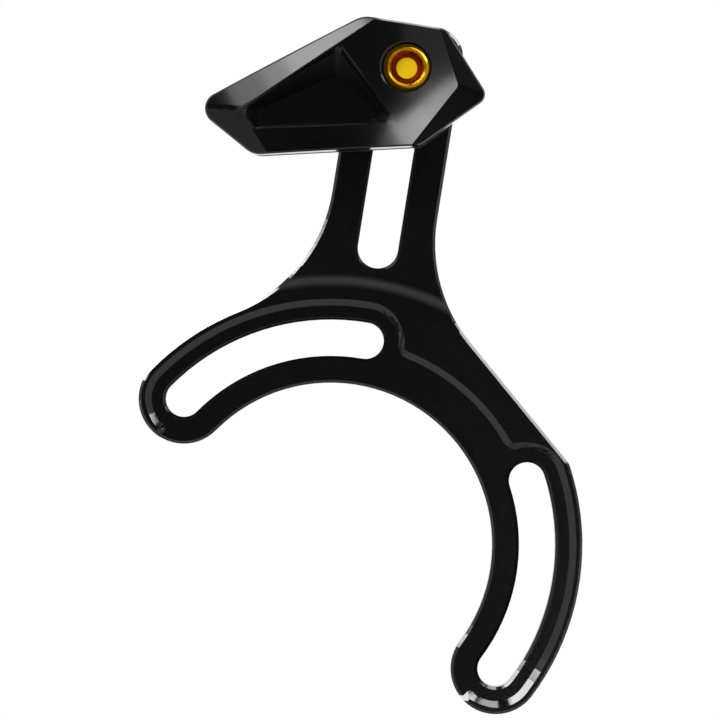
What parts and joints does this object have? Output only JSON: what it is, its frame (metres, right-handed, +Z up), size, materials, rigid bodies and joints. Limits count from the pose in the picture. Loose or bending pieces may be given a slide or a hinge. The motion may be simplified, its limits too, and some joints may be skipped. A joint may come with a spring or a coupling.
{
  "type": "bicycle chain guide",
  "caption": "C-shaped slotted aluminium plate with a joggled arm that carries a faceted plastic cage over a bicycle chain, height-adjustable on a slot and clamped by a gold socket-head bolt.",
  "frame": {"origin": "on the crank axis, in the plane where the plate meets the frame tabs", "axes": "+X forward, +Z up, +Y inboard towards the frame, so the guide stands outboard along -Y"},
  "size_m": [0.0782, 0.0304, 0.1223],
  "materials": {
    "black_anodised_plate": "satin black anodised",
    "black_plastic": "fine moulded satin",
    "gold_anodised_bolt": "gold anodised, glossy",
    "nut_metal": "black anodised"
  },
  "bodies": {
    "plate": {"backplate": "black_anodised_plate"},
    "guide": {"inner_guide": "black_plastic", "outer_guide": "black_plastic", "guide_bolt": "gold_anodised_bolt", "slot_nut": "nut_metal"}
  },
  "joints": [
    {"name": "guide_height", "type": "slide", "parent": "plate", "child": "guide", "axis": [0.1582, 0, 0.9874], "range_m": [-0.0216, 0]}
  ]
}
